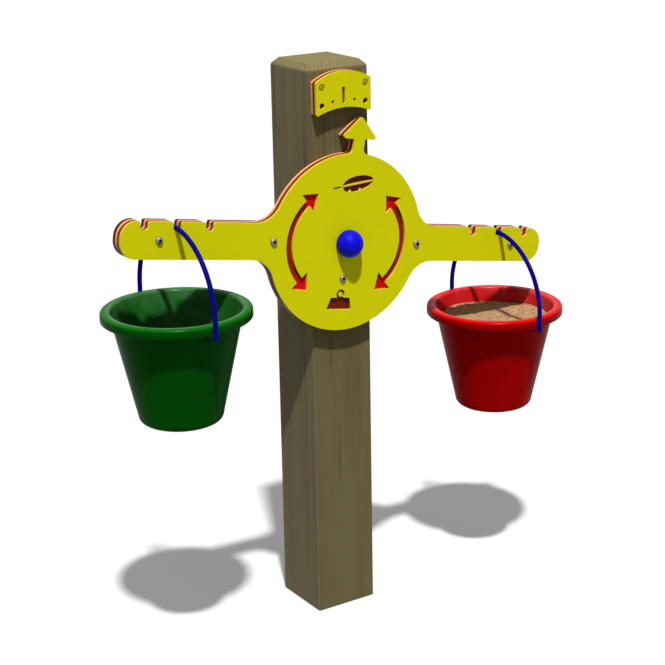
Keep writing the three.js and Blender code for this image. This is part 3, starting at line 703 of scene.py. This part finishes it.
class BALANCE_OT_stage(bpy.types.Operator):
    """Floor, light and the camera"""
    bl_idname = "balance.stage"
    bl_label = "Stage"

    def execute(self, context):
        scene = context.scene
        scene.view_settings.view_transform = "Standard"
        mesh = bpy.data.meshes.new("floor")
        reach = FLOOR_REACH
        mesh.from_pydata([(-reach, -reach, 0), (reach, -reach, 0), (reach, reach, 0), (-reach, reach, 0)],
                         [], [(0, 1, 2, 3)])
        mesh.materials.append(floor_finish())
        floor = bpy.data.objects.new("floor", mesh)
        scene.collection.objects.link(floor)
        self.add_sun(scene)
        self.add_sky(scene)
        self.add_camera(scene)
        return {"FINISHED"}

    @staticmethod
    def add_sun(scene):
        lamp = bpy.data.lights.new("key", "SUN")
        lamp.energy = SUN_STRENGTH
        lamp.angle = SUN_SOFTNESS
        key = bpy.data.objects.new("key", lamp)
        key.rotation_euler = Vector(SUN_TRAVEL).to_track_quat("-Z", "Y").to_euler()
        scene.collection.objects.link(key)

    @staticmethod
    def add_sky(scene):
        world = bpy.data.worlds.new("surround")
        world.use_nodes = True
        tree = world.node_tree
        backdrop = tree.nodes["Background"]
        backdrop.inputs["Color"].default_value = (1, 1, 1, 1)
        light = Wire(tree, None).node("ShaderNodeLightPath")
        strength = SKY_STRENGTH + seen_by_camera(light) * (1 - SKY_STRENGTH)
        tree.links.new(strength.socket, backdrop.inputs["Strength"])
        scene.world = world

    @staticmethod
    def add_camera(scene):
        data = bpy.data.cameras.new("view")
        data.sensor_width = SENSOR_WIDTH
        data.sensor_fit = "HORIZONTAL"
        data.lens = CAMERA_FOCAL_PIXELS * SENSOR_WIDTH / IMAGE_SIZE
        data.clip_end = CAMERA_CLIP_END
        level = math.cos(CAMERA_PITCH)
        ahead = Vector((math.sin(CAMERA_YAW) * level, math.cos(CAMERA_YAW) * level, math.sin(CAMERA_PITCH)))
        right = Vector((math.cos(CAMERA_YAW), -math.sin(CAMERA_YAW), 0))
        up = right.cross(ahead)
        turn_cos, turn_sin = math.cos(CAMERA_ROLL), math.sin(CAMERA_ROLL)
        rolled_right = right * turn_cos + up * turn_sin
        rolled_up = up * turn_cos - right * turn_sin
        matrix = Matrix((rolled_right, rolled_up, -ahead)).transposed().to_4x4()
        matrix.translation = CAMERA_PLACE
        camera = bpy.data.objects.new("view", data)
        camera.matrix_world = matrix
        scene.collection.objects.link(camera)
        scene.camera = camera


class BALANCE_OT_post(bpy.types.Operator):
    """Timber post with eased edges"""
    bl_idname = "balance.post"
    bl_label = "Post"

    def execute(self, context):
        mesh = rounded_copy("post_timber", "post", sizes().post_edge, 3, long_and_sharp)
        new_piece("post_timber", mesh, "stand", timber_finish(), ["post"])
        return {"FINISHED"}


class BALANCE_OT_scale(bpy.types.Operator):
    """Scale plate and the caps over its screws"""
    bl_idname = "balance.scale"
    bl_label = "Scale plate"

    def execute(self, context):
        low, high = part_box("scale_plate")
        thickness = high[1] - low[1]
        material = sheet_finish("plate_sheet", low[1], thickness, tuple(colours().sign))
        mesh = rounded_copy("plate", "scale_plate", sizes().board_edge, 2, face_to_side)
        new_piece("plate", mesh, "stand", material, ["scale_plate"])
        cap_finish = plastic_finish("cap_plastic", colours().cap, 0.45)
        for side in ("left", "right"):
            node = "screw_cap_" + side
            low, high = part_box(node)
            radius = (high[0] - low[0]) / 2
            tall = high[1] - low[1]
            dome = [(0, 0), (radius, 0), (radius, tall * 0.7), (radius * 0.9, tall * 0.92),
                    (radius * 0.6, tall * 1.05), (0, tall * 1.1)]
            cap = turned(node + "_dome", dome, 32, "Y")
            moved(cap, (middle(node)[0], high[1], middle(node)[2]))
            new_piece(node + "_dome", shaded(cap), "stand", cap_finish, [node])
        return {"FINISHED"}


class BALANCE_OT_boards(bpy.types.Operator):
    """The two boards of the beam"""
    bl_idname = "balance.boards"
    bl_label = "Beam boards"

    def execute(self, context):
        low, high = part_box("front_board")
        engraved = tuple(colours().arrow)
        material = sheet_finish("beam_sheet", low[1], high[1] - low[1], engraved, self.engravings)
        mesh = rounded_copy("beam_front", "front_board", sizes().board_edge, 2, face_to_side)
        new_piece("beam_front", mesh, "beam", material, ["front_board"])
        mesh = rounded_copy("beam_rear", "rear_board", sizes().board_edge, 2, face_to_side)
        new_piece("beam_rear", mesh, "beam", dark_sheet_finish(), ["rear_board"])
        return {"FINISHED"}

    @staticmethod
    def engravings(place):
        """Where the disc is engraved, and where it holds the arrow heads and the two signs."""
        across = place.part("X")
        up = place.part("Z") - middle("pivot_bolt")[2]
        along = across * math.cos(REST_TILT) - up * math.sin(REST_TILT)
        above = across * math.sin(REST_TILT) + up * math.cos(REST_TILT)
        radius = place.maths("SQRT", across * across + up * up, 0)
        along = along.maths("ABSOLUTE", along, 0)
        above = above.maths("ABSOLUTE", above, 0)
        head = above.mask(ARROW_HEAD_START, ARROW_HEAD_FULL)
        return radius < ENGRAVED_RADIUS, head, (along < SIGN_REACH) * (above > SIGN_START)


class BALANCE_OT_fasteners(bpy.types.Operator):
    """Bolts of the beam, with their nuts, washers and the pivot's hidden hardware"""
    bl_idname = "balance.fasteners"
    bl_label = "Fasteners"

    def execute(self, context):
        steel = steel_finish("plated_steel")
        bolt_steel = steel_finish("bolt_steel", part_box("stop_bolt")[0][1])
        tree = repeat_tree()
        clamps = ["clamp_bolt_left_outer", "clamp_bolt_left_inner",
                  "clamp_bolt_right_inner", "clamp_bolt_right_outer"]
        for name, nodes in (("clamp_bolts", clamps), ("stop_bolt_turned", ["stop_bolt"])):
            low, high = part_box(nodes[0])
            template = work_object("bolt_template", self.bolt_mesh(high[1] - low[1]))
            points = [(middle(node)[0], low[1], middle(node)[2]) for node in nodes]
            mesh = grow(name, polyline(name, *[[point] for point in points]), tree,
                        {"Copied": template, "Material": bolt_steel})
            bpy.data.objects.remove(template)
            new_piece(name, shaded(mesh), "beam", bolt_steel, nodes)
        plain = [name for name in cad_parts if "nut" in name or "washer" in name]
        dress([name for name in plain if name != "thrust_washer"], steel)
        dress(["pivot_bolt", "scale_screw_left", "scale_screw_right"], steel)
        dress(["pivot_bush", "thrust_washer"], plastic_finish("bearing_plastic", colours().bearing, 0.5))
        return {"FINISHED"}

    @staticmethod
    def bolt_mesh(length):
        """Button-head bolt whose head points to -Y from the origin, with a hexagon socket."""
        head = sizes().bolt_head / 2
        tall = sizes().bolt_head_tall
        shank = sizes().bolt_shank / 2
        socket = sizes().bolt_socket / math.sqrt(3)
        deep = tall * 0.6
        dome = arc(0, 0, 1, math.radians(4), math.radians(62), 9)
        crown = [(head * across / dome[0][0], tall * up / dome[-1][1]) for across, up in dome]
        profile = [(0, tall - length), (shank, tall - length), (shank, 0), (head, 0), *crown, (0, tall)]
        mesh = turned("bolt", profile, 48)
        body = work_object("bolt", mesh)
        cutter = bmesh.new()
        bmesh.ops.create_cone(cutter, cap_ends=True, segments=6,
                              radius1=socket, radius2=socket, depth=2 * deep)
        bmesh.ops.translate(cutter, verts=cutter.verts, vec=(0, 0, tall))
        cut_mesh = bpy.data.meshes.new("socket")
        cutter.to_mesh(cut_mesh)
        cutter.free()
        cut = work_object("socket", cut_mesh)
        boolean = body.modifiers.new("Socket", "BOOLEAN")
        boolean.operation = "DIFFERENCE"
        boolean.object = cut
        bolt = finished_mesh("bolt", body)
        bpy.data.objects.remove(cut)
        bolt.transform(Matrix.Translation((0, tall, 0)) @ Matrix.Rotation(math.pi / 2, 4, "X"))
        return bolt


class BALANCE_OT_balls(bpy.types.Operator):
    """Ball caps over both ends of the pivot bolt"""
    bl_idname = "balance.balls"
    bl_label = "Ball caps"

    def execute(self, context):
        blue = plastic_finish("ball_plastic", colours().blue, 0.46, 0.09)
        radius = sizes().ball_radius
        standoff = sizes().ball_standoff
        washer_low, washer_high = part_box("front_washer")
        well_radius = (washer_high[0] - washer_low[0]) / 2 + WELL_GAP
        bolt_low, bolt_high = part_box("pivot_bolt")
        foot = math.sqrt(radius ** 2 - standoff ** 2)
        sphere = arc(0, standoff, radius, -math.asin(standoff / radius), math.pi / 2, 40)
        for node, way in (("ball_cap", -1), ("rear_cap", 1)):
            low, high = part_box(node)
            deep = high[1] - bolt_low[1] if way < 0 else bolt_high[1] - low[1]
            deep += WELL_GAP
            profile = [(0, deep), (well_radius, deep), (well_radius, 0), (foot - BALL_EASE, 0),
                       *sphere[1:-1], (0, standoff + radius)]
            mesh = turned(node + "_ball", profile, 72, "Y")
            if way > 0:
                mesh.transform(Matrix.Rotation(math.pi, 4, "X"))
            place = high[1] if way < 0 else low[1]
            moved(mesh, (middle(node)[0], place, middle(node)[2]))
            new_piece(node + "_ball", shaded(mesh, 50), "stand", blue, [node])
        return {"FINISHED"}


class BALANCE_OT_bails(bpy.types.Operator):
    """Bent bails with their pegs"""
    bl_idname = "balance.bails"
    bl_label = "Bails"

    def execute(self, context):
        blue = plastic_finish("bail_plastic", colours().bail, 0.38)
        rod = sizes().bail_rod / 2
        tree = rod_tree()
        for side in ("left", "right"):
            node = "bail_" + side
            low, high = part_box(node)
            across = middle(node)[0]
            mid = middle(node)[1]
            reach = (high[1] - low[1]) / 2 - rod
            spring = high[2] - rod - reach
            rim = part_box("bucket_" + side)[1][2]
            arch = [(across, mid + y, z) for y, z in arc(0, spring, reach, 0, math.pi, 72)]
            path = [(across, mid + reach, low[2]), *arch, (across, mid - reach, low[2])]
            mesh = grow(node, polyline(node, path), tree, {"Rod Radius": rod, "Material": blue})
            peg = sizes().bail_peg / 2
            ear = rim - sizes().ear_drop
            inner = sizes().rim_radius - PEG_INSET
            pegs = [[(across, mid + way * reach, ear), (across, mid + way * inner, ear)] for way in (1, -1)]
            pegs = grow(node + "_pegs", polyline(node, *pegs), tree, {"Rod Radius": peg, "Material": blue})
            whole = joined(node + "_rod", mesh, pegs)
            new_piece(node + "_rod", shaded(whole, 50), side + "_bail", blue, [node])
        return {"FINISHED"}


class BALANCE_OT_buckets(bpy.types.Operator):
    """Moulded buckets"""
    bl_idname = "balance.buckets"
    bl_label = "Buckets"

    def execute(self, context):
        for side, colour in (("left", colours().green), ("right", colours().red)):
            node = "bucket_" + side
            low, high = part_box(node)
            mesh = turned(node + "_shell", self.profile(low[2], high[2]), 128)
            moved(mesh, (middle(node)[0], middle(node)[1], 0))
            finish = plastic_finish(node + "_plastic", colour, 0.36, painted_light_and_gloss=self.painted_light_and_gloss(node))
            new_piece(node + "_shell", shaded(mesh, 50), side + "_bucket", finish, [node])
        return {"FINISHED"}

    @staticmethod
    def painted_light_and_gloss(node):
        """Painted light on the top of the rim and the inner wall, a grey haze on the inner wall that is
        partly wear and partly painted sheen, and the gloss of both.
        """
        centre = middle(node)
        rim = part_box(node)[1][2]

        def masks(finish):
            place, facing = finish.place, finish.facing
            outward = facing.part("X") * (place.part("X") - centre[0])
            outward = outward + facing.part("Y") * (place.part("Y") - centre[1])
            top = facing.part("Z").mask(0.3, 0.8) * (place.part("Z") > rim - RIM_TOP_DEPTH)
            inner = outward < 0
            # Painted light: all of the rim's top and most of the inner wall.
            bright = top.maths("MAXIMUM", top, inner * INNER_PAINTED_LIGHT)
            return bright, inner, top * RIM_GLOSS + inner * INNER_GLOSS
        return masks

    @staticmethod
    def profile(foot, rim):
        """Half section of the shell, from the middle of the foot over the rim to the inner floor."""
        wall = sizes().bucket_wall
        top = sizes().bucket_top
        outer = sizes().rim_radius
        skirt = sizes().skirt
        turn = sizes().bucket_foot - sizes().foot_round
        base = foot + sizes().foot_round
        inside = top - wall
        lip = LIP_ROUND
        crown = CROWN_ROUND
        quarter = math.pi / 2
        return [
            (0, foot + FOOT_HOLLOW),
            (turn - FOOT_RING_INNER, foot + FOOT_HOLLOW),
            (turn - FOOT_RING_OUTER, foot),
            *arc(turn, base, sizes().foot_round, -quarter, 0, 8),
            (top, rim - lip),
            (outer - wall, rim - lip),
            (outer - wall, rim - skirt + SKIRT_EASE),
            (outer - wall * 0.7, rim - skirt),
            (outer - wall * 0.3, rim - skirt),
            (outer, rim - skirt + SKIRT_EASE),
            *arc(outer - crown, rim - crown, crown, 0, quarter, 8),
            *arc(inside + lip, rim - lip, lip, quarter, 2 * quarter, 6),
            *arc(turn, base, sizes().foot_round - wall, 0, -quarter, 8),
            (0, foot + wall),
        ]


class BALANCE_OT_sand(bpy.types.Operator):
    """Sand in the right bucket"""
    bl_idname = "balance.sand"
    bl_label = "Sand"

    def execute(self, context):
        low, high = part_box("bucket_right")
        rim = high[2]
        level = rim - sizes().sand_depth
        inside = sizes().bucket_top - sizes().bucket_wall
        taper = (sizes().bucket_top - sizes().bucket_foot) / (rim - low[2] - sizes().foot_round)
        radius = inside - taper * sizes().sand_depth - SAND_GAP
        rows, sides = 28, 96
        base = level - SAND_THICK
        profile = [(0, base), (radius - taper * SAND_THICK, base)]
        profile += [(radius * (1 - i / rows), level) for i in range(rows + 1)]
        mesh = turned("sand_fill", profile, sides)
        for vertex in mesh.vertices:
            if vertex.co.z > level - WELD:
                swell = noise.noise(vertex.co * SAND_SWELLS_PER_METRE) * SAND_SWELL
                ripple = noise.noise(vertex.co * SAND_RIPPLES_PER_METRE) * SAND_RIPPLE
                vertex.co.z += swell + ripple
        moved(mesh, (middle("bucket_right")[0], middle("bucket_right")[1], 0))
        new_piece("sand_fill", shaded(mesh, 60), "right_bucket", sand_finish())
        return {"FINISHED"}


class BALANCE_PT_pieces(bpy.types.Panel):
    """Lists the pieces and what can be changed about them"""
    bl_idname = "BALANCE_PT_pieces"
    bl_label = "Bucket balance"
    bl_space_type = "VIEW_3D"
    bl_region_type = "UI"
    bl_category = "Balance"

    def draw(self, context):
        column = self.layout.column()
        for operator in OPERATORS:
            column.operator(operator.bl_idname)
        for group in (context.scene.balance_sizes, context.scene.balance_colours):
            for name in group.bl_rna.properties.keys():
                if name not in ("rna_type", "name"):
                    column.prop(group, name)


OPERATORS = (
    BALANCE_OT_stage,
    BALANCE_OT_post,
    BALANCE_OT_scale,
    BALANCE_OT_boards,
    BALANCE_OT_fasteners,
    BALANCE_OT_balls,
    BALANCE_OT_bails,
    BALANCE_OT_buckets,
    BALANCE_OT_sand,
)
CLASSES = (BalanceSizes, BalanceColours, *OPERATORS, BALANCE_PT_pieces)


def register():
    for entry in CLASSES:
        bpy.utils.register_class(entry)
    bpy.types.Scene.balance_sizes = bpy.props.PointerProperty(type=BalanceSizes)
    bpy.types.Scene.balance_colours = bpy.props.PointerProperty(type=BalanceColours)


def unregister():
    del bpy.types.Scene.balance_colours
    del bpy.types.Scene.balance_sizes
    for entry in reversed(CLASSES):
        bpy.utils.unregister_class(entry)


def main():
    register()
    bpy.ops.balance.stage()
    bpy.ops.balance.post()
    bpy.ops.balance.scale()
    bpy.ops.balance.boards()
    bpy.ops.balance.fasteners()
    bpy.ops.balance.balls()
    bpy.ops.balance.bails()
    bpy.ops.balance.buckets()
    bpy.ops.balance.sand()


if __name__ == "__main__":
    main()
